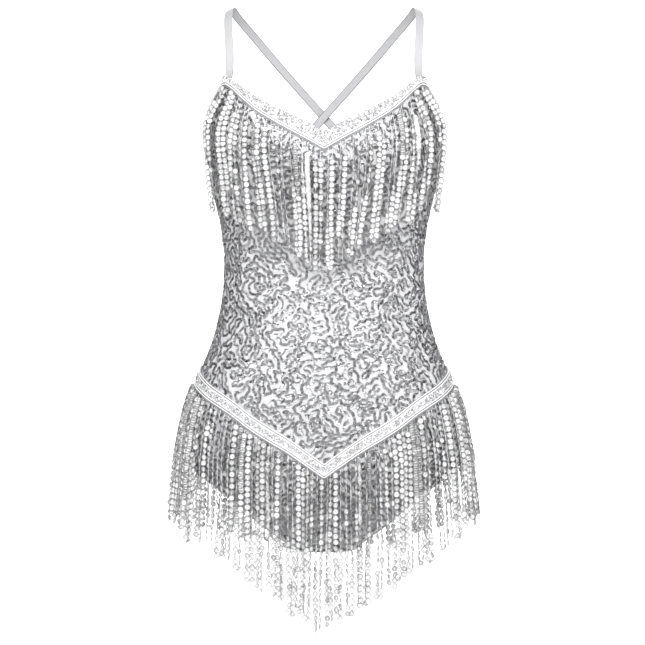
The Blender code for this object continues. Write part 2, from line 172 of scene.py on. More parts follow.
# Straps
STRAP_WIDTH, STRAP_GAP, STRAP_THICKNESS, STRAP_CROWN = 0.0105, 0.0009, 0.0013, 0.00018
STRAP_POINTS, STRAP_COLUMNS = 260, 9
STRAP_FRONT_ANGLE, STRAP_BACK_ANGLE = math.radians(51), math.radians(41)
STRAP_ROUTE = table(
    "across back height",
    (-0.1190, -0.0530, -0.0680),
    (-0.1210, -0.0400, -0.0340),
    (-0.1215, -0.0190, -0.0085),
    (-0.1185, 0.0020, TRIM / 2),
    (-0.1105, 0.0215, -0.0085),
    (-0.0890, 0.0510, -0.0320),
    (-0.0560, 0.0790, -0.0690),
    (0.0000, 0.0985, -0.1310),
    (0.0500, 0.0915, -0.1890),
)
STRAP_LAP_FRONT, STRAP_LAP_BACK = (0.020, 0.004), (0.001, 0.012)
SHOULDER_INWARD, SHOULDER_BACK, SHOULDER_TOP = (0.90, 0.72), 0.005, -0.070
CROSSING_SPREAD, CROSSING_SHIFT = 0.028, 0.0014

# Creases of the stretched cloth, each placed one by one: ridges are above 0, troughs below
CREASES = table(
    "side angle level tilt length width height",
    (FRONT, -74, -0.292, 8, 0.062, 0.0065, 0.0011),
    (FRONT, -66, -0.318, -6, 0.078, 0.0075, -0.0013),
    (FRONT, -71, -0.349, -15, 0.054, 0.0060, 0.0010),
    (FRONT, -58, -0.386, -24, 0.082, 0.0090, -0.0009),
    (FRONT, 72, -0.286, -10, 0.050, 0.0060, 0.0010),
    (FRONT, 64, -0.309, 4, 0.086, 0.0080, -0.0014),
    (FRONT, 75, -0.334, 12, 0.048, 0.0055, 0.0012),
    (FRONT, 60, -0.371, 20, 0.070, 0.0085, -0.0010),
    (FRONT, -9, -0.272, 82, 0.046, 0.0080, -0.0008),
    (FRONT, 13, -0.281, 96, 0.038, 0.0070, -0.0007),
    (FRONT, -8, -0.655, 76, 0.050, 0.0050, 0.0009),
    (FRONT, 7, -0.668, 101, 0.042, 0.0045, -0.0009),
    (FRONT, 10, -0.641, 112, 0.034, 0.0050, 0.0007),
    (BACK, -38, -0.336, 5, 0.096, 0.0090, 0.0015),
    (BACK, -20, -0.352, -4, 0.084, 0.0080, -0.0016),
    (BACK, 26, -0.341, -7, 0.104, 0.0095, 0.0014),
    (BACK, 48, -0.361, 9, 0.066, 0.0070, -0.0012),
    (BACK, -62, -0.312, 13, 0.058, 0.0065, -0.0011),
    (BACK, 69, -0.318, -12, 0.052, 0.0060, 0.0010),
    (BACK, -6, -0.379, 3, 0.060, 0.0100, 0.0010),
    (BACK, -9, -0.650, 74, 0.056, 0.0060, -0.0011),
    (BACK, 11, -0.662, 104, 0.048, 0.0055, 0.0009),
)

# Soft lights: name, place, height of the aim, size, power and whether its reflection shows
LIGHTS = (
    ("softbox_left", (-2.2, -2.3, 0.25), -0.35, (0.7, 1.6), 12, True),
    ("softbox_right", (2.2, -2.3, 0.25), -0.35, (0.7, 1.6), 11, True),
    ("key", (-0.1, -1.5, 0.65), -0.16, (1.3, 0.7), 24, True),
    ("high_front", (0.35, -4.4, 0.95), -0.40, (1.6, 1.0), 12, True),
    ("low_front", (0.0, -2.4, -1.25), -0.58, (1.2, 0.5), 11, False),
    ("fill", (0.0, -3.4, 0.3), -0.38, (0.9, 0.9), 31, False),
    ("left", (-2.0, -0.5, -0.1), -0.30, (0.25, 1.1), 7, True),
    ("right", (2.0, -0.5, -0.1), -0.30, (0.25, 1.1), 11, True),
    ("behind", (0.0, 2.6, 1.2), -0.35, (1.8, 0.9), 16, True),
)

# Floor and the sweep behind it: height, distances from the middle, bend, half width and top
FLOOR, NEAR, FAR, BEND, REACH, SWEEP_TOP = -1.36, 3.2, 5.2, 0.9, math.radians(36), 4.5
STUDIO_STEPS, BEND_STEPS = 73, 16

# Camera
CAMERA_AIM = (-0.0019, -0.400)
CAMERA_DISTANCE, FRAME_WIDTH, SENSOR = 4.0, 0.8256, 36


# Form

def smooth(at, knots, values):
    """A curve through the knots, with the slope at each taken from its neighbours."""
    slopes = np.gradient(values, knots)
    at = np.clip(at, knots[0], knots[-1])
    i = np.clip(np.searchsorted(knots, at, side="right") - 1, 0, len(knots) - 2)
    step = knots[i + 1] - knots[i]
    u = (at - knots[i]) / step
    ends = values[i] * (1 + 2 * u) * (1 - u) ** 2 + values[i + 1] * u * u * (3 - 2 * u)
    return ends + step * u * (1 - u) * (slopes[i] * (1 - u) - slopes[i + 1] * u)


def section_size(side, height):
    """Half width and depth of the torso at a height."""
    depth = "front_depth" if side == FRONT else "back_depth"
    return [smooth(height, SECTIONS["height"], SECTIONS[name]) for name in ("half_width", depth)]


def cup_swell(side, angle, height):
    """How far the bust cups push the cloth out."""
    if side == BACK:
        return np.zeros_like(angle)
    spread = np.where(height > CUP_LEVEL, CUP_ABOVE, CUP_BELOW)
    round_it = np.exp(-(((np.abs(angle) - CUP_ANGLE) / CUP_HALF_ANGLE) ** 2) / 2)
    return CUP_SWELL * round_it * np.exp(-(((height - CUP_LEVEL) / spread) ** 2) / 2)


def section_shape(side, angle, height, turn):
    """How far a point of a section lies across, and out from the torso's axis."""
    half_width, depth = section_size(side, height)
    depth = depth + (CROTCH_DEPTH - depth) * np.sin(turn) ** 2
    square = 1 + SQUARENESS * np.sin(2 * angle) ** 2
    swell = cup_swell(side, angle, height)
    return (half_width * square + swell) * np.sin(angle), (depth * square + swell) * np.cos(angle)


def surface(side, angle, level):
    """Points of the cloth's outer face. Below the hip line a level turns under the seat."""
    angle, level = np.broadcast_arrays(np.asarray(angle, float), np.asarray(level, float))
    height = np.maximum(level, HIP_LEVEL)
    turn = (height - level) / SEAT_RADIUS
    across, outward = section_shape(side, angle, height, turn)
    return np.stack([across, side * outward * np.cos(turn), height - outward * np.sin(turn)], -1)


def unit(vectors):
    return vectors / np.maximum(np.linalg.norm(vectors, axis=-1, keepdims=True), 1e-12)


def normal(side, angle, level):
    """Outward unit normals of the cloth."""
    step = 1e-4
    round_it = surface(side, angle + step, level) - surface(side, angle - step, level)
    up = surface(side, angle, level + step) - surface(side, angle, level - step)
    return unit(np.cross(round_it, up) * -side)


def lifted(side, angle, level, lift):
    """Points at a height over the cloth's outer face."""
    return surface(side, angle, level) + np.asarray(lift)[..., None] * normal(side, angle, level)


def line_at(line, name, angle):
    """A column of a line's table at an angle, smooth through its points."""
    return smooth(np.abs(angle), np.radians(line["angle"]), line[name])


def top_level(side, angle):
    """The level of the top edge."""
    return line_at(NECKLINE if side == FRONT else BACK_EDGE, "level", angle)


def neck_drop(angle):
    """How far the neck band reaches down from the neckline."""
    return line_at(NECK_BAND, "drop", angle)


def neck_lower(angle):
    """The level of the neck band's lower edge."""
    return top_level(FRONT, angle) - neck_drop(angle)


def hip_level(side, angle):
    """The level of the hip band's upper edge."""
    return line_at(HIP_LINE_FRONT if side == FRONT else HIP_LINE_BACK, "level", angle)


def hip_lower(side, angle):
    """The level of the hip band's lower edge."""
    return hip_level(side, angle) - HIP_BAND_DROP


def leg_edge(side, turn):
    """The angle at which a panel ends on the leg opening."""
    edge = LEGS["front_edge" if side == FRONT else "back_edge"]
    return smooth(turn, np.radians(LEGS["turn"]), np.radians(edge))


def seam_angle():
    return RIGHT_ANGLE - HALF_SEAM / section_size(FRONT, HIP_LEVEL)[1]


def run_length(path):
    """How far along a path, or along each of several, its points lie."""
    steps = np.linalg.norm(np.diff(path, axis=-2), axis=-1)
    return np.concatenate([np.zeros((*steps.shape[:-1], 1)), np.cumsum(steps, axis=-1)], -1)


def at_run(path, along, at, through=np.interp):
    """Points of a path at distances along it."""
    return np.stack([through(at, along, part) for part in path.T], 1)


def paced(path, pitch):
    """Points at an even pitch along an open path."""
    along = run_length(path)
    return at_run(path, along, np.arange(0, along[-1], pitch))


# Meshes

def added(name, data):
    """A new object in the scene."""
    made = bpy.data.objects.new(name, data)
    bpy.context.scene.collection.objects.link(made)
    return made


def added_mesh(name, points, faces, finish, smooth_faces=True):
    """A new mesh in the scene, in one finish."""
    mesh = bpy.data.meshes.new(name)
    mesh.from_pydata(np.reshape(points, (-1, 3)).tolist(), [], faces.tolist(), shade_flat=not smooth_faces)
    mesh.materials.append(finish)
    return added(name, mesh)


def mesh_object(name, points, faces, finish, uv=None, smooth_faces=True):
    """A mesh that rides on the part, with texture coordinates for its points."""
    made = added_mesh(name, points, faces, finish, smooth_faces)
    if uv is not None:
        layer = made.data.uv_layers.new(name="cloth")
        layer.data.foreach_set("uv", uv.reshape(-1, 2)[faces.ravel()].ravel())
    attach(made, "root")
    return made


def grid_faces(rows, columns, closed=False):
    """Quads of a grid whose points are numbered row by row."""
    r, c = np.meshgrid(np.arange(rows - 1), np.arange(columns - (not closed)), indexing="ij")
    a, b = (r * columns + c).ravel(), (r * columns + (c + 1) % columns).ravel()
    return np.stack([a, a + columns, b + columns, b], 1)


def grid_uv(along, across):
    """Texture coordinates of a grid from two arrays that fit together."""
    return np.stack(np.broadcast_arrays(along, across), -1)


def thicken(obj, thickness, offset):
    """Solidify with the cloth's thickness."""
    solidify = obj.modifiers.new("thickness", "SOLIDIFY")
    solidify.thickness = thickness
    solidify.offset = offset
    return obj


def ribbon(name, rows, finish, thickness, uv):
    """A strip of cloth from rows of points, thickened to both sides."""
    return thicken(mesh_object(name, rows, grid_faces(len(rows), len(rows[0])), finish, uv), thickness, 0)


def circle(sides):
    """Points of a circle of radius 1."""
    turns = np.arange(sides) * 2 * math.pi / sides
    return np.stack([np.cos(turns), np.sin(turns)], 1)


def tubes(name, paths, radius, sides, up=(0, 0.01, 1)):
    """Round threads along several paths, as one mesh. No path runs along up."""
    cos, sin = circle(sides).T[:, None, :, None]
    points, faces, start = [], [], 0
    for path in paths:
        along = unit(np.gradient(path, axis=0))
        across = unit(np.cross(along, up))
        ring = cos * across[:, None] + sin * np.cross(across, along)[:, None]
        points.append((path[:, None] + radius * ring).reshape(-1, 3))
        faces.append(grid_faces(len(path), sides, True) + start)
        start += len(points[-1])
    return mesh_object(name, np.concatenate(points), np.concatenate(faces), THREAD)


def disc(rings, sides):
    """Points and quads of a disc made of rings of (radius, height), from its hole outwards."""
    points = [np.column_stack([circle(sides) * radius, np.full(sides, height)]) for radius, height in rings]
    return np.concatenate(points), grid_faces(len(rings), sides, True)


def cup(sides, depth):
    """A small shallow cone: a centre, a raised rim and a triangle for each side."""
    rim = np.column_stack([circle(sides), np.full(sides, depth)])
    k = np.arange(sides)
    return np.vstack([rim, [[0, 0, 0]]]), np.stack([k, (k + 1) % sides, np.full(sides, sides)], 1)


def scatter(name, shape, centres, along, facing, sizes, finish, smooth_faces=False):
    """Copies of one small shape as one mesh: each has a centre, a heading, a facing and a size.

    The first number of the texture coordinates is the distance from the shape's centre.
    """
    points, faces = shape
    facing = unit(facing)
    along = unit(along - facing * (along * facing).sum(1, keepdims=True))
    axes = np.stack([along, np.cross(facing, along), facing], 1)
    sizes = np.broadcast_to(sizes, (len(centres),))[:, None, None]
    placed = centres[:, None] + sizes * np.einsum("pk,nkc->npc", points, axes)
    numbered = faces[None] + (np.arange(len(centres)) * len(points))[:, None, None]
    radius = np.hypot(points[:, 0], points[:, 1])
    uv = np.tile(np.column_stack([radius, radius]), (len(centres), 1))
    return mesh_object(name, placed, numbered.reshape(-1, faces.shape[1]), finish, uv, smooth_faces)


def tilted(facing, along, tilt):
    """Facing directions leant along a heading by an angle each."""
    return unit(facing * np.cos(tilt)[:, None] + along * np.sin(tilt)[:, None])


# Finishes

def finish(name, colour, roughness, metallic=0.0, **sockets):
    """A Principled material and its shader, with uniform values on the shader's own sockets."""
    made = bpy.data.materials.new(name)
    made.use_nodes = True
    shader = made.node_tree.nodes["Principled BSDF"]
    values = {"Base Color": (*colour, 1), "Roughness": roughness, "Metallic": metallic, **sockets}
    for socket, value in values.items():
        shader.inputs[socket].default_value = value
    return made, shader


def node(beside, kind, values=(), **settings):
    """A node in the same tree as another, with its settings and the values of its sockets."""
    new = beside.id_data.nodes.new("ShaderNode" + kind)
    for key, value in settings.items():
        setattr(new, key, value)
    for socket, value in dict(values).items():
        new.inputs[socket].default_value = value
    return new


def link(source, socket, target, where):
    """A link from a socket of one node to a socket of another."""
    source.id_data.links.new(source.outputs[socket], target.inputs[where])


def on_cloth(shader, kind, values=(), **settings):
    """A node that reads the cloth's own coordinates."""
    new = node(shader, kind, values, **settings)
    link(node(shader, "UVMap", uv_map="cloth"), "UV", new, "Vector")
    return new


def ramp(source, socket, stops):
    """A colour ramp over a value: stops are (position, grey or colour)."""
    new = node(source, "ValToRGB")
    while len(new.color_ramp.elements) < len(stops):
        new.color_ramp.elements.new(0.5)
    for element, (position, colour) in zip(new.color_ramp.elements, stops):
        element.position = position
        element.color = (*colour, 1) if len(np.shape(colour)) else (colour, colour, colour, 1)
    link(source, socket, new, "Fac")
    return new


def bump(shader, source, socket, strength, distance):
    """Bump on a shader from a height."""
    new = node(shader, "Bump", {"Strength": strength, "Distance": distance})
    link(source, socket, new, "Height")
    link(new, "Normal", shader, "Normal")


def multiplied(shader, one, other):
    """Base colour as the product of two colours."""
    both = node(shader, "VectorMath", operation="MULTIPLY")
    link(one, "Color", both, 0)
    link(other, "Color", both, 1)
    link(both, "Vector", shader, "Base Color")


def sequin_tone(shader, roughness, stops):
    """A tone for each sequin, and a slightly different roughness for each."""
    info = node(shader, "NewGeometry")
    gloss = node(shader, "MapRange", {"To Min": roughness * 0.75, "To Max": roughness * 1.35})
    link(info, "Random Per Island", gloss, "Value")
    link(gloss, "Result", shader, "Roughness")
    return ramp(info, "Random Per Island", stops)


def sequin_finish(name, colour, roughness, metallic, darkest):
    """Silvered film: each sequin has its own tone and a slightly different gloss."""
    made, shader = finish(name, colour, roughness, metallic)
    low = tuple(c * darkest for c in colour)
    tone = sequin_tone(shader, roughness, ((0.0, low), (0.55, colour), (1.0, colour)))
    link(tone, "Color", shader, "Base Color")
    return made


def film_finish(name, colour, rim, roughness, metallic):
    """Silvery film with painted shade, darker at a sequin's hole and towards its curled-up rim, in tones of
    its own.
    """
    made, shader = finish(name, colour, roughness, metallic)
    radius = on_cloth(shader, "SeparateXYZ")
    # Painted shade: the rim colour darkens each sequin by its distance from the centre, at the hole and
    # towards the rim.
    tone = ramp(radius, "X", ((0.16, rim), (0.26, colour), (0.60, colour), (0.95, rim)))
    shade = sequin_tone(shader, roughness, ((0.0, 0.62), (0.5, 0.94), (1.0, 1.0)))
    multiplied(shader, tone, shade)
    return made


def knit_finish(name, colour, shade):
    """Fine stretch knit, with its rows of stitches as bump and a soft uneven tone."""
    made, shader = finish(name, colour, 0.62, **{"Sheen Weight": 0.06, "Sheen Roughness": 0.4})
    loops = node(shader, "Math", operation="MULTIPLY")
    for k, (direction, scale) in enumerate((("X", 260.0), ("Y", 330.0))):
        wave = on_cloth(shader, "TexWave", {"Scale": scale, "Distortion": 0.6, "Detail": 1.0},
                        bands_direction=direction)
        link(wave, "Fac", loops, k)
    bump(shader, loops, "Value", 0.5, 0.0004)
    patches = on_cloth(shader, "TexNoise", {"Scale": 90.0, "Detail": 4.0})
    tone = ramp(patches, "Fac", ((0.3, shade), (0.7, colour)))
    link(tone, "Color", shader, "Base Color")
    return made


def satin_finish(name, colour, period, half_width=0.0):
    """Satin elastic or binding: fine lengthwise ribs under a soft gloss and, when a half width is given,
    painted shade along both edges.
    """
    made, shader = finish(name, colour, 0.42, **{"Sheen Weight": 0.3, "Anisotropic": 0.4})
    ribs = on_cloth(shader, "TexWave", {"Scale": 1 / period, "Distortion": 0.2}, bands_direction="Y")
    bump(shader, ribs, "Fac", 0.35, 0.0003)
    grain = on_cloth(shader, "TexNoise", {"Scale": 700.0, "Detail": 3.0})
    low = tuple(c * 0.9 for c in colour)
    tone = ramp(grain, "Fac", ((0.35, low), (0.65, colour)))
    if half_width:
        across = on_cloth(shader, "SeparateXYZ")
        off = node(shader, "Math", operation="ABSOLUTE")
        link(across, "Y", off, 0)
        share = node(shader, "MapRange", {"From Max": half_width})
        link(off, "Value", share, "Value")
        # Painted shade: the colour darkens towards both edges of the strap's reverse face.
        edge = ramp(share, "Result", ((0.76, 1.0), (0.86, 0.5), (1.0, 0.35)))
        multiplied(shader, tone, edge)
    else:
        link(tone, "Color", shader, "Base Color")
    return made


def thread_finish(name, colour):
    """Twisted white thread."""
    made, shader = finish(name, colour, 0.5, **{"Sheen Weight": 0.4})
    place = node(shader, "TexCoord")
    ply = node(shader, "TexNoise", {"Scale": 1800.0, "Detail": 2.0})
    link(place, "Object", ply, "Vector")
    bump(shader, ply, "Fac", 0.4, 0.0003)
    low = tuple(c * 0.85 for c in colour)
    link(ramp(ply, "Fac", ((0.35, low), (0.6, colour))), "Color", shader, "Base Color")
    return made


KNIT = knit_finish("sequin_cloth_knit", (0.68, 0.68, 0.69), (0.55, 0.55, 0.56))
SEQUIN = sequin_finish("sequin_cloth_sequin", (0.39, 0.39, 0.40), 0.33, 0.90, 0.55)
# The fringe film's second colour is painted shade at the hole and rim of each fringe sequin, also used for
# the band accents.
FRINGE_SEQUIN = film_finish("sequin_fringe_sequin", (0.86, 0.86, 0.86), (0.29, 0.29, 0.295), 0.26, 0.16)
TRIM_SEQUIN = sequin_finish("sequin_trim_sequin", (0.86, 0.86, 0.87), 0.30, 0.5, 0.55)
SATIN = satin_finish("strap_elastic_satin", (0.50, 0.50, 0.51), 0.0009)
# The straps' reverse face, with painted shade along its edges.
SATIN_REVERSE_SHADED_EDGES = satin_finish("strap_elastic_reverse", (0.51, 0.51, 0.52), 0.0009, STRAP_WIDTH / 2)
BINDING = satin_finish("stretch_binding_satin", (0.84, 0.84, 0.85), 0.0012)
TRIM_KNIT = knit_finish("sequin_trim_net", (0.36, 0.36, 0.37), (0.26, 0.26, 0.27))
THREAD = thread_finish("white_thread", (0.97, 0.97, 0.97))


# Panels

def panel_rows(side):
    """Angles and levels of a panel's fine grid, from its top edge to the crotch."""
    shares = np.linspace(-1, 1, PANEL_COLUMNS)
    angles = shares * seam_angle()
    top = top_level(side, angles)
    low = hip_lower(side, angles)
    profile = (low - low[0]) / (low.min() - low[0])
    middle = min(low.min(), HIP_LEVEL) - BELOW_BAND
    first_seat = HIP_LEVEL + (middle - HIP_LEVEL) * profile
    rows = [(angles, top + (first_seat - top) * share) for share in np.linspace(0, 1, BODICE_ROWS)[:-1]]
    last_turn = RIGHT_ANGLE - HALF_CROTCH_SEAM / CROTCH_DEPTH
    for turn in np.linspace(0, last_turn, SEAT_ROWS):
        edge = HIP_LEVEL - SEAT_RADIUS * turn
        centre = middle + (HIP_LEVEL - SEAT_RADIUS * last_turn - middle) * turn / last_turn
        reach = min(leg_edge(side, turn), seam_angle())
        rows.append((shares * reach, edge + (centre - edge) * profile))
    return np.array(rows).transpose(1, 0, 2)


def step_at(share, count):
    """Which step a share of a scale of points falls in, and how far into the step."""
    place = np.clip(share * (count - 1), 0, count - 1.001)
    return place.astype(int), place - place.astype(int)


class Cut:
    """The flat cut of a panel: how far round the body a point lies from the centre line."""

    def __init__(self, side):
        self.levels = np.linspace(CUT_TOP, HIP_LEVEL - SEAT_RADIUS * RIGHT_ANGLE, CUT_LEVELS)
        self.angles = np.linspace(0, RIGHT_ANGLE, CUT_ANGLES)
        self.arcs = run_length(surface(side, self.angles[None], self.levels[:, None]))

    def row(self, level):
        """The row of arcs at or above a level, and how far past it the level is."""
        return step_at((self.levels[0] - level) / (self.levels[0] - self.levels[-1]), CUT_LEVELS)

    def across(self, angle, level):
        """Distance round the body from the centre line."""
        r, f = self.row(level)
        i, g = step_at(np.abs(angle) / RIGHT_ANGLE, CUT_ANGLES)
        low = self.arcs[r, i] * (1 - g) + self.arcs[r, i + 1] * g
        high = self.arcs[r + 1, i] * (1 - g) + self.arcs[r + 1, i + 1] * g
        return np.sign(angle) * (low * (1 - f) + high * f)

    def angle(self, across, level):
        """The angle of a point at a distance round the body, or OFF_CUT past the side seam."""
        r, _ = self.row(level)
        found = np.zeros(len(across))
        for k in np.unique(r):
            here = r == k
            found[here] = np.interp(np.abs(across[here]), self.arcs[k], self.angles, right=OFF_CUT)
        return np.copysign(found, across)


def crease(side, angle, level):
    """How far the creases move the cloth out or in."""
    total = 0 * angle
    for own_side, middle, middle_level, tilt, length, width, height in zip(*CREASES.values()):
        if own_side == side:
            x = (angle - math.radians(middle)) * section_size(side, max(middle_level, HIP_LEVEL))[0]
            y, turn = level - middle_level, math.radians(tilt)
            along = (x * math.cos(turn) + y * math.sin(turn)) / (length / 2)
            across = (y * math.cos(turn) - x * math.sin(turn)) / width
            total = total + height * np.exp(-along ** 2 - across ** 2)
    return total


def cloth_point(side, angle, level, lift=0.0):
    """Points over the creased cloth."""
    return lifted(side, angle, level, crease(side, angle, level) + lift)


def panel(name, side, cut):
    """The knit of the front or back panel."""
    angles, levels = panel_rows(side)
    uv = np.stack([cut.across(angles, levels), levels], -1)
    points = cloth_point(side, angles, levels)
    faces = grid_faces(*angles.shape)
    if side == BACK:
        faces = faces[:, ::-1]
    obj = thicken(mesh_object(name, points, faces, KNIT, uv), KNIT_THICKNESS, -1)
    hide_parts(name)
    return obj


def random_tree(cells, rng):
    """Which cells of a square are joined to their right and upper neighbours, in one random tree."""
    right, up = np.zeros((cells + 1, cells + 1), bool), np.zeros((cells + 1, cells + 1), bool)
    reached = np.zeros((cells, cells), bool)
    reached[0, 0] = True
    doors = [(0, 0, 1, 0), (0, 0, 0, 1)]
    while doors:
        k = int(rng.random() * len(doors))
        doors[k], doors[-1] = doors[-1], doors[k]
        i, j, di, dj = doors.pop()
        a, b = i + di, j + dj
        if 0 <= a < cells and 0 <= b < cells and not reached[a, b]:
            reached[a, b] = True
            (right if di else up)[min(i, a), min(j, b)] = True
            doors += [(a, b, 1, 0), (a, b, 0, 1), (a, b, -1, 0), (a, b, 0, -1)]
    return right, up


def line_round(right, up):
    """The corners that a closed line passes on its way round a tree of cells, two corners to a cell."""
    def joined(p, q, ahead, beside):
        """Whether the line runs from corner p, q to the next corner ahead."""
        return p >= 0 and (ahead[p // 2, q // 2] if p % 2 else not beside[p // 2, (q - 1) // 2])

    place, came, line = (0, 0), None, []
    while True:
        line.append(place)
        p, q = place
        ways = ((p + 1, q, joined(p, q, right, up)), (p, q + 1, joined(q, p, up.T, right.T)),
                (p - 1, q, joined(p - 1, q, right, up)), (p, q - 1, joined(q - 1, p, up.T, right.T)))
        onward = [(a, b) for a, b, free in ways if free and (a, b) != came]
        came, place = place, onward[0]
        if place == (0, 0):
            return np.array(line, float)


def wandering_line(seed):
    """A closed line that wanders over the whole field, about its middle."""
    rng = np.random.default_rng(seed)
    line = line_round(*random_tree(int(LINE_FIELD / LINE_SPACING / 2) + 1, rng))
    line = line + rng.uniform(-LINE_WANDER, LINE_WANDER, (len(line), 2))
    line = rounded(line * LINE_SPACING, 2)
    x, y = line[:, 0], line[:, 1]
    onward = unit(np.gradient(line, axis=0))
    run = np.cumsum(np.linalg.norm(np.diff(line, axis=0, append=line[:1]), axis=1))
    wave = np.sin(run * 2 * math.pi / WAVE_LENGTH + WAVE_SHIFT * np.sin(run * SHIFTS_A_METRE))
    line = line + LINE_WAVE * wave[:, None] * np.stack([-onward[:, 1], onward[:, 0]], 1)
    sway = [np.sin(b * waves + swing * np.sin(a * slow)) + RIPPLE * np.sin(a * fast + b * crosswise)
            for a, b, (waves, swing, slow, fast, crosswise) in zip((x, y), (y, x), SWAYS)]
    drift = [np.sin(b * waves + swing * np.sin(a * slow))
             for a, b, (waves, swing, slow) in zip((x, y), (y, x), DRIFTS)]
    x, y = line.T + LINE_SWAY * np.array(sway) + LINE_DRIFT * np.array(drift) - LINE_FIELD / 2
    cos, sin = math.cos(LINE_TURN), math.sin(LINE_TURN)
    return np.stack([x * cos - y * sin, x * sin + y * cos], 1)


def rounded(line, times):
    """A closed line with its corners cut off again and again."""
    for _ in range(times):
        onward = np.roll(line, -1, axis=0)
        line = np.stack([line * 0.75 + onward * 0.25, line * 0.25 + onward * 0.75], 1).reshape(-1, 2)
    return line


def on_panel(side, angle, level):
    """Whether a sequin lies on the bare cloth: inside the edges and clear of the bands."""
    inside = np.abs(angle) < seam_angle() - SEAM_CLEAR_ANGLE
    near = np.clip(angle, -RIGHT_ANGLE, RIGHT_ANGLE)
    margin = np.where((side == FRONT) & (np.abs(near) < STRAP_CORNER), neck_drop(near), BINDING_DROP)
    inside &= level < top_level(side, near) - margin - BAND_CLEAR
    below = hip_level(side, near) - level
    inside &= (below < -BAND_CLEAR) | (below > HIP_BAND_DROP + BAND_CLEAR_BELOW)
    turn = np.clip((HIP_LEVEL - level) / SEAT_RADIUS, 0, RIGHT_ANGLE)
    reach = leg_edge(side, turn) - LEG_CLEAR / section_size(side, HIP_LEVEL)[0]
    inside &= HIP_LEVEL - level < SEAT_RADIUS * RIGHT_ANGLE - CROTCH_CLEAR
    return inside & (np.abs(angle) < reach)


def cloth_sequins(name, side, cut, seed):
    """The wandering line of small sequins over one panel."""
    bottom = HIP_LEVEL - SEAT_RADIUS * RIGHT_ANGLE
    across, level = paced(wandering_line(seed), CLOTH_PITCH).T
    level = (FIELD_TOP + bottom) / 2 + level
    on_field = (level > bottom) & (level < FIELD_TOP)
    across, level = across[on_field], level[on_field]
    angle = cut.angle(across, level)
    keep = on_panel(side, angle, level)
    safe = np.clip(angle, -RIGHT_ANGLE, RIGHT_ANGLE)
    points = cloth_point(side, safe, level, CLOTH_SEQUIN_LIFT)
    out = normal(side, safe, level)
    along = unit(np.roll(points, -1, axis=0) - points)
    rng = np.random.default_rng(seed + 1)
    tilt = CLOTH_SCALE_TILT + CLOTH_TILT * rng.standard_normal(len(points))
    facing = tilted(out, along, tilt)
    facing = tilted(facing, np.cross(out, along), CLOTH_TILT * rng.standard_normal(len(points)))
    size = CLOTH_SEQUIN / 2 * rng.uniform(*CLOTH_SIZES, len(points))
    return scatter(name, cup(*CLOTH_CUP), points[keep], along[keep], facing[keep], size[keep], SEQUIN)


# Bands

def band(name, side, reach, upper, lower, cords, accents, seed):
    """A band of dense sequins on net, edged with pairs of white cord."""
    angles = np.linspace(-reach, reach, STRIP_POINTS)
    rows = []
    for share in np.linspace(0, 1, BAND_ROWS):
        level = upper(angles) + (lower(angles) - upper(angles)) * share
        lift = TRIM_LIFT + TRIM / 2 + BAND_CROWN * math.sin(math.pi * share)
        rows.append(lifted(side, angles, level, lift))
    length = run_length(rows[BAND_ROWS // 2])
    height = np.linalg.norm(rows[-1] - rows[0], axis=1)
    uv = grid_uv(length, np.linspace(0, 1, BAND_ROWS)[:, None] * height)
    base = ribbon(name, rows, TRIM_KNIT, TRIM, uv)
    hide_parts(name)

    rng = np.random.default_rng(seed)
    width = float(np.median(height))
    n_along, n_across = int(length[-1] / BAND_PITCH), int(width / BAND_PITCH)
    u, v = np.meshgrid(np.arange(n_along) + 0.5, np.arange(n_across) + 0.5, indexing="ij")
    wave = BAND_WAVE * np.sin(u * 0.9) * np.sin(v * math.pi / n_across)
    u = (u + rng.uniform(-BAND_JITTER, BAND_JITTER, u.shape)).ravel() / n_along
    v = (v + wave + rng.uniform(-BAND_JITTER, BAND_JITTER, v.shape)).ravel() / n_across
    angle = np.interp(u * length[-1], length, angles)
    own_width = upper(angle) - lower(angle)
    corded = [share for share, _ in cords]
    first = CORD_ZONE / own_width if 0 in corded else BAND_MARGIN
    last = 1 - CORD_ZONE / own_width if 1 in corded else 1 - BAND_MARGIN
    v = first + np.clip(v, 0, 1) * (last - first)
    level = upper(angle) - own_width * v
    lift = TRIM_LIFT + TRIM + BAND_SEQUIN_LIFT + rng.uniform(0, LIFT_SPREAD, len(angle))
    points = lifted(side, angle, level, lift)
    out = normal(side, angle, level)
    along = unit(rng.standard_normal((len(angle), 3)))
    facing = unit(out + BAND_LEAN * rng.standard_normal(out.shape))
    pieces = [scatter(name + "_sequins", disc(*BAND_DISC), points, along, facing,
                      BAND_SEQUIN / 2 * rng.uniform(*BAND_SIZES, len(angle)), TRIM_SEQUIN)]
    if accents:
        spots = np.arange(ACCENT_SPACING * 0.6, length[-1], ACCENT_SPACING)
        spots += rng.uniform(-ACCENT_SPREAD, ACCENT_SPREAD, len(spots))
        angle = np.interp(spots, length, angles)
        level = (upper(angle) + lower(angle)) / 2 + rng.uniform(-ACCENT_OFF, ACCENT_OFF, len(angle))
        out = normal(side, angle, level)
        points = lifted(side, angle, level, TRIM_LIFT + TRIM + ACCENT_LIFT)
        facing = unit(out + ACCENT_LEAN * rng.standard_normal(out.shape))
        pieces.append(scatter(name + "_accents", disc(*STRING_DISC), points, rng.standard_normal(out.shape),
                              facing, ACCENT_SEQUIN / 2, FRINGE_SEQUIN))
    paths = []
    for share, inward in cords:
        edge = upper(angles) + (lower(angles) - upper(angles)) * share
        for inset in (CORD_INSET, CORD_INSET + CORD_SPACING):
            paths.append(lifted(side, angles, edge + inward * inset, TRIM_LIFT + TRIM + CORD_RADIUS * 0.7))
    pieces.append(tubes(name + "_cords", paths, CORD_RADIUS, 8))
    return base, pieces


# Fringe

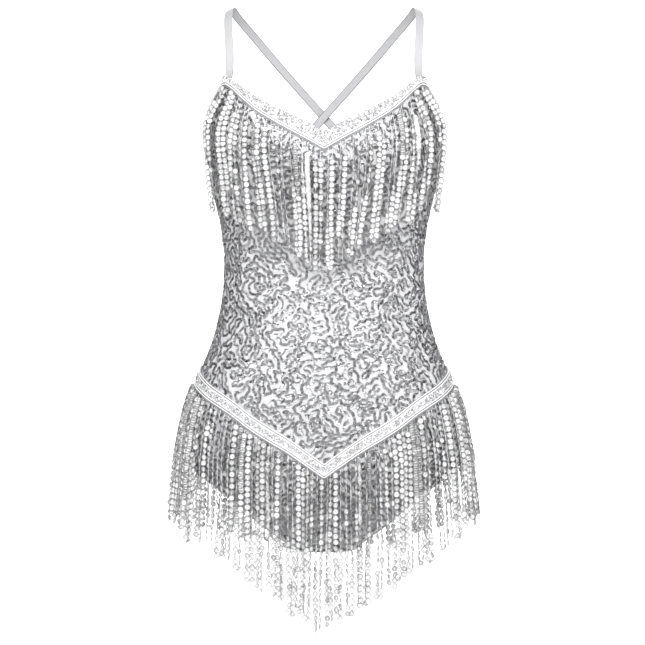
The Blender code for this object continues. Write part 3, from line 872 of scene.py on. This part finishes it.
def hang_path(side, angle, start, length, fan, flare, fall_in, clear, sway):
    """One string: over what swells below its root, then hanging free, with a little sway."""
    drop = np.linspace(0, length, STRING_POINTS)
    share = drop / length
    root = surface(side, angle, start)
    eased = np.minimum(share / FAN_SHARE, 1)
    angles = angle + fan * eased * eased * (3 - 2 * eased)
    heights = np.maximum(root[2] - drop, HIP_LEVEL)
    across, outward = section_shape(side, angles, heights, 0 * heights)
    fall = fall_in * drop
    hand = np.sign(angle or 1)
    across = hand * (np.maximum.accumulate(np.abs(across) + fall) - fall)
    outward = np.maximum.accumulate(outward + fall) - fall
    away = STRING_ROOT_CLEAR + (clear - STRING_ROOT_CLEAR) * np.minimum(share / CLEAR_REACH, 1)
    away += flare * share ** 2
    line = np.stack([across + away * np.sin(angles), side * (outward + away * np.cos(angles)),
                     root[2] - drop], 1)
    sideways = np.array([math.cos(angle), side * -math.sin(angle), 0])
    drift = sway[0] * np.sin(share * math.pi * sway[1] + sway[2]) - sway[0] * math.sin(sway[2])
    return line + np.outer(drift * share, sideways)


def looped(first, second, width):
    """One path down the first string, round a small loop and up the second."""
    gap = second[-1] - first[-1]
    across = unit(gap)
    narrow = np.linspace(0, 1, len(first))[:, None] ** PINCH_POWER
    pinch = max(np.linalg.norm(gap) - width, 0) / 2
    down, up = first + across * pinch * narrow, second - across * pinch * narrow
    low = min(down[-1, 2], up[-1, 2])
    down, up = down[down[:, 2] > low], up[up[:, 2] > low]
    middle, radius = (down[-1] + up[-1]) / 2, np.linalg.norm(up[-1] - down[-1]) / 2
    turns = np.linspace(0, math.pi, LOOP_STEPS)[1:-1, None]
    arc = middle - across * radius * np.cos(turns) - np.array([0, 0, LOOP_DEPTH]) * radius * np.sin(turns)
    return np.concatenate([down, arc, up[::-1]])


def string_frames(path, legs, side, angle, pitch, bare, flat_only, rng):
    """Places, headings and facings of the sequins along one string, or along a loop of two legs."""
    along = run_length(path)
    leg, styles, turns = along[-1] / legs, [], []
    for _ in range(legs):
        close = rng.random() < CLOSE_SHARE and not flat_only
        flat = rng.random() < FLAT_SHARE or flat_only
        middle, spread = (0, FLAT_TURN) if flat else (SIDE_TURN, SIDE_SPREAD)
        if close:
            middle, spread = CLOSE_TURN, CLOSE_SPREAD
        own = rng.choice([-1, 1]) * rng.normal(middle, spread)
        end = rng.choice([-1, 1]) * rng.uniform(*END_TURN)
        styles.append(rng.uniform(*CLOSE_STRETCH) if close else 0.0)
        turns += [own] * 3 + [own * 0.5 + end * 0.5, end]
    starts = pitch * STRING_START + bare * rng.uniform(*BARE_STRETCH, 2)
    at, end = [starts[0]], along[-1] - (starts[1] if legs == 2 else 0)
    while at[-1] < end:
        k = min(int(at[-1] / leg), legs - 1)
        share = at[-1] / leg - k
        share = 1 - share if k else share
        step = CLOSE_PITCH if share < styles[k] else pitch
        at.append(at[-1] + step * rng.uniform(*PITCH_SPREAD))
    at = np.array(at[:-1])
    points = at_run(path, along, at)
    heading = unit(np.gradient(points, axis=0))
    out = np.array([math.sin(angle), side * math.cos(angle), 0.0])
    out = unit(out - heading * (heading @ out)[:, None])
    beside = np.cross(heading, out)
    if legs == 2:
        turns[5:] = turns[:4:-1]
    turns = np.array(turns) + rng.normal(0, TWIST, len(turns)).cumsum()
    turn = np.interp(at / along[-1], np.linspace(0, 1, len(turns)), turns)
    turn += rng.normal(0, SEQUIN_TURN, len(at))
    facing = unit(out * np.cos(turn)[:, None] + beside * np.sin(turn)[:, None])
    lean = SEQUIN_LEAN + rng.normal(0, LEAN_SPREAD, len(at))
    return points, heading, tilted(facing, heading, lean)


def fringe(name, side, reach, lower, strand, spacing, pitch, bare, hug, seed):
    """The strings of one fringe under a band's lower edge, with their threads and header tape."""
    def line(angle):
        return lower(angle) - HEADER_GAP

    rng = np.random.default_rng(seed)
    dense = np.linspace(-reach, reach, EDGE_POINTS)
    edge = surface(side, dense, line(dense) - HEADER_HEIGHT)
    along = run_length(edge)
    count = 2 * int(along[-1] / spacing / 2)
    roots = (np.arange(count) + 0.5) * along[-1] / count
    roots += (spacing - PAIR_SPACING) / 2 * np.where(np.arange(count) % 2, -1, 1)
    angles = np.interp(roots + rng.uniform(-ROOT_SPREAD, ROOT_SPREAD, count), along, dense)
    frames, threads, sizes = [], [], []
    for k in range(0, count, 2):
        spread, looped_pair = rng.uniform(-1, 1), rng.random() < LOOPED_SHARE
        middle = (angles[k] + angles[k + 1]) / 2
        hugs = abs(middle) > hug
        clear = HUG_CLEAR if hugs else STRING_CLEAR + rng.uniform(0, CLEAR_SPREAD)
        sway = (rng.uniform(*SWAY), rng.uniform(*SWAY_WAVES), rng.uniform(0, 6.3))
        pair = []
        for own in angles[k:k + 2]:
            length, *lean = strand(own)
            start = float(line(own)) - HEADER_HEIGHT * 0.5
            if not looped_pair:
                spread = rng.uniform(-LOOSE_SPREAD, LOOSE_SPREAD)
            length *= 1 + LENGTH_SPREAD * spread
            pair.append(hang_path(side, own, start, length, *lean, clear, sway))
        paths, legs = pair, 1
        if looped_pair:
            paths, legs = [looped(*pair, LOOP_WIDTH + rng.uniform(*LOOP_SPREAD))], 2
        for path in paths:
            frames.append(string_frames(path, legs, side, middle, pitch, 0 if hugs else bare, hugs, rng))
            threads.append(paced(path, THREAD_PITCH))
            sizes.append(STRING_SEQUIN / 2 * rng.uniform(*STRING_SIZES, len(frames[-1][0])))
    points, heading, facing = (np.concatenate(part) for part in zip(*frames))
    sizes = np.concatenate(sizes)
    strings = scatter(name, disc(*STRING_DISC), points, heading, facing, sizes, FRINGE_SEQUIN, True)
    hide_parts(name)
    thread = tubes(name + "_threads", threads, THREAD_RADIUS, 4, up=(0.03, side, 0.02))
    tape_angles = np.linspace(-reach, reach, STRIP_POINTS)
    rows = [lifted(side, tape_angles, line(tape_angles) - HEADER_HEIGHT * share, HEADER_LIFT + TAPE_LIFT)
            for share in (0, 0.5, 1)]
    uv = grid_uv(tape_angles * 0.15, np.array([[0], [0.0015], [0.003]]))
    tape = ribbon(name + "_tape", rows, TRIM_KNIT, TAPE_THICKNESS, uv)


def neck_fringe():
    """The fringe of the neck band. Its outer strings are led round over the side of the bust."""
    def strand(angle):
        past = max(abs(angle) - FAN_START, 0) / (STRAP_CORNER - FAN_START)
        fan = math.copysign(NECK_FAN * past ** FAN_POWER, angle)
        return NECK_STRAND + CORNER_LONGER * past, fan, 0, NECK_FALL_IN

    fringe("neck_fringe", FRONT, STRAP_CORNER, neck_lower, strand, NECK_SPACING, NECK_PITCH, NECK_BARE,
           NECK_HUG, 31)


def hip_fringe(name, side, seed):
    """The fringe of one hip band, flaring at the side seams."""
    def strand(angle):
        out = math.sin(angle) ** 2
        return HIP_STRAND - HIP_SHORTER * out, 0, HIP_FLARE * out, HIP_FALL_IN

    fringe(name, side, seam_angle(), partial(hip_lower, side), strand, HIP_SPACING, HIP_PITCH, HIP_BARE,
           math.pi, seed)


# Straps and binding

def lap_points(side, angle, drops):
    """Where a strap lies on the inside of a panel, under its top edge: points and normals."""
    levels = top_level(side, angle) - np.array(drops)
    angles = np.full(len(drops), angle)
    out = normal(side, angles, levels)
    return surface(side, angles, levels) - (WALL + STRAP_GAP + TRIM / 2) * out, out


def strap(name, hand):
    """A shoulder strap of flat satin elastic, slightly crowned across its width."""
    route = np.stack(list(STRAP_ROUTE.values()), 1)
    inward = np.where(route[:, 1] < 0, *SHOULDER_INWARD)
    inner = np.stack([inward * route[:, 0], 0 * route[:, 0] + SHOULDER_BACK,
                      np.minimum(route[:, 2], SHOULDER_TOP)], 1)
    front, front_out = lap_points(FRONT, -STRAP_FRONT_ANGLE, STRAP_LAP_FRONT)
    back, back_out = lap_points(BACK, STRAP_BACK_ANGLE, STRAP_LAP_BACK)
    knots = np.concatenate([front, route, back])
    facing = np.concatenate([front_out, unit(route - inner), back_out])
    along = run_length(knots)
    at = np.linspace(0, along[-1], STRAP_POINTS)
    centre, out = at_run(knots, along, at, smooth), unit(at_run(facing, along, at, smooth))
    crossing = np.exp(-((centre[:, 0] / CROSSING_SPREAD) ** 2)) * (centre[:, 1] > 0)
    centre[:, 1] -= hand * CROSSING_SHIFT * crossing
    across = unit(np.cross(np.gradient(centre, axis=0), out))
    shares = np.linspace(-1, 1, STRAP_COLUMNS)
    rows = centre[:, None] + shares[:, None] * across[:, None] * STRAP_WIDTH / 2
    rows = rows + out[:, None] * STRAP_CROWN * (1 - shares[:, None] ** 2)
    rows[:, :, 0] *= -hand
    if hand < 0:
        rows = rows[:, ::-1]
    obj = ribbon(name, rows, SATIN, STRAP_THICKNESS, grid_uv(at[:, None], shares * STRAP_WIDTH / 2))
    # The strap's thickened shell takes the reverse finish and its painted edge shade.
    obj.data.materials.append(SATIN_REVERSE_SHADED_EDGES)
    shell = obj.modifiers["thickness"]
    shell.material_offset, shell.material_offset_rim = 1, 1
    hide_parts(name)
    return obj, at[-1]


def binding():
    """The narrow binding of the armholes and the back edge."""
    corner = STRAP_CORNER + BINDING_PAST_STRAP
    runs = ((FRONT, -corner, -seam_angle()), (BACK, -seam_angle(), seam_angle()),
            (FRONT, seam_angle(), corner))
    rows = []
    for share in np.linspace(0, 1, BINDING_ROWS):
        line = []
        for side, low, high in runs:
            angles = np.linspace(low, high, BINDING_POINTS[side])
            level = top_level(side, angles) - BINDING_DROP * share
            lift = TRIM_LIFT + BINDING_LIFT + BINDING_CROWN * math.sin(math.pi * share)
            line.append(lifted(side, angles, level, lift))
        rows.append(np.concatenate(line))
    uv = grid_uv(run_length(rows[BINDING_ROWS // 2]), np.linspace(0, BINDING_DROP, BINDING_ROWS)[:, None])
    obj = ribbon("top_binding", rows, BINDING, BINDING_THICKNESS, uv)
    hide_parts("top_binding")
    sewn = rows[-2] + BINDING_STITCH_LIFT * unit(rows[-2] * (1, 1, 0))
    stitches("top_binding_stitches", [sewn])


def stitches(name, paths):
    """Short lengths of thread, one after the other along each path."""
    threads = []
    for path in paths:
        along = run_length(path)
        threads += [at_run(path, along, (start, start + STITCH_LENGTH))
                    for start in np.arange(STITCH_PITCH, along[-1] - STITCH_PITCH, STITCH_PITCH)]
    made = tubes(name, threads, STITCH_RADIUS, 4, up=(0.3, 0.9, 0.2))
    return made


def leg_hem(name, side):
    """The twin rows of stitches that hold one panel's turned hems at the leg openings."""
    turns = np.linspace(HEM_END_TURN, RIGHT_ANGLE - HEM_END_TURN, HEM_POINTS)
    levels = HIP_LEVEL - SEAT_RADIUS * turns
    paths = []
    for hand in (-1, 1):
        angles = hand * np.minimum(leg_edge(side, turns), seam_angle())
        edge, out = cloth_point(side, angles, levels), normal(side, angles, levels)
        inwards = unit(np.cross(out, np.gradient(edge, axis=0)))
        middle = surface(side, 0 * angles, levels)
        inwards *= np.sign(((middle - edge) * inwards).sum(1, keepdims=True))
        for inset in HEM_INSETS:
            paths.append(edge + inset * inwards + HEM_STITCH_LIFT * out)
    return stitches(name, paths)


# Studio

def area_light(name, place, aim_height, size, power, glossy):
    """A soft rectangular light aimed at the garment's middle."""
    light = bpy.data.lights.new(name, "AREA")
    light.shape = "RECTANGLE"
    light.size, light.size_y = size
    light.energy = power
    obj = added(name, light)
    obj.location = place
    x, y, z = place
    obj.rotation_euler = (math.atan2(math.hypot(x, y), z - aim_height), 0, math.atan2(-x, y) + math.pi)
    obj.visible_glossy = glossy


def studio():
    """A pale floor that sweeps up behind, with soft lights round the front."""
    paper, _ = finish("pale_paper", (0.72, 0.72, 0.72), 0.9)
    lit_paper, shader = finish("lit_paper", (0.86, 0.86, 0.86), 0.9)
    shader.inputs["Emission Color"].default_value = (1, 1, 1, 1)
    shader.inputs["Emission Strength"].default_value = 1.0
    bends = [(FAR - BEND + BEND * math.sin(t), FLOOR + BEND - BEND * math.cos(t))
             for t in np.linspace(0, RIGHT_ANGLE, BEND_STEPS)]
    for name, reach, profile, sheet in (
            ("floor", math.pi, ((0.001, FLOOR), (NEAR, FLOOR)), paper),
            ("sweep", REACH, ((NEAR, FLOOR), *bends, (FAR, SWEEP_TOP)), lit_paper)):
        turns = np.linspace(-reach, reach, STUDIO_STEPS)
        rows = [[(out * math.sin(t), out * math.cos(t), up) for t in turns] for out, up in profile]
        added_mesh(name, rows, grid_faces(len(profile), STUDIO_STEPS), sheet)

    world = bpy.data.worlds.new("studio")
    world.use_nodes = True
    world.node_tree.nodes["Background"].inputs["Color"].default_value = (0.34, 0.34, 0.345, 1)
    bpy.context.scene.world = world
    for light in LIGHTS:
        area_light(*light)


def camera():
    """The photograph's view: level, from straight ahead."""
    data = bpy.data.cameras.new("camera")
    data.sensor_width = SENSOR
    data.lens = SENSOR * CAMERA_DISTANCE / FRAME_WIDTH
    obj = added("camera", data)
    obj.location = (CAMERA_AIM[0], -CAMERA_DISTANCE, CAMERA_AIM[1])
    obj.rotation_euler = (RIGHT_ANGLE, 0, 0)
    bpy.context.scene.camera = obj


# The garment

def garment():
    """Every piece, and the sheets of cloth with what is sewn on them."""
    front_cut, back_cut = Cut(FRONT), Cut(BACK)
    front = panel("front_panel", FRONT, front_cut)
    back = panel("back_panel", BACK, back_cut)
    on_front = [cloth_sequins("front_sequins", FRONT, front_cut, 5), leg_hem("front_hem_stitches", FRONT)]
    on_back = [cloth_sequins("back_sequins", BACK, back_cut, 6), leg_hem("back_hem_stitches", BACK)]

    neck, neck_pieces = band("neck_band", FRONT, STRAP_CORNER, partial(top_level, FRONT), neck_lower,
                             ((1, 1),), False, 41)
    hips = [band(name, side, seam_angle(), partial(hip_level, side), partial(hip_lower, side),
                 ((0, -1), (1, 1)), True, seed)
            for name, side, seed in (("hip_band_front", FRONT, 42), ("hip_band_back", BACK, 43))]
    binding()
    straps = [strap("strap_right", -1), strap("strap_left", 1)]
    neck_fringe()
    hip_fringe("hip_fringe_front", FRONT, 32)
    hip_fringe("hip_fringe_back", BACK, 33)


bpy.context.scene.view_settings.view_transform = "Standard"
garment()
studio()
camera()
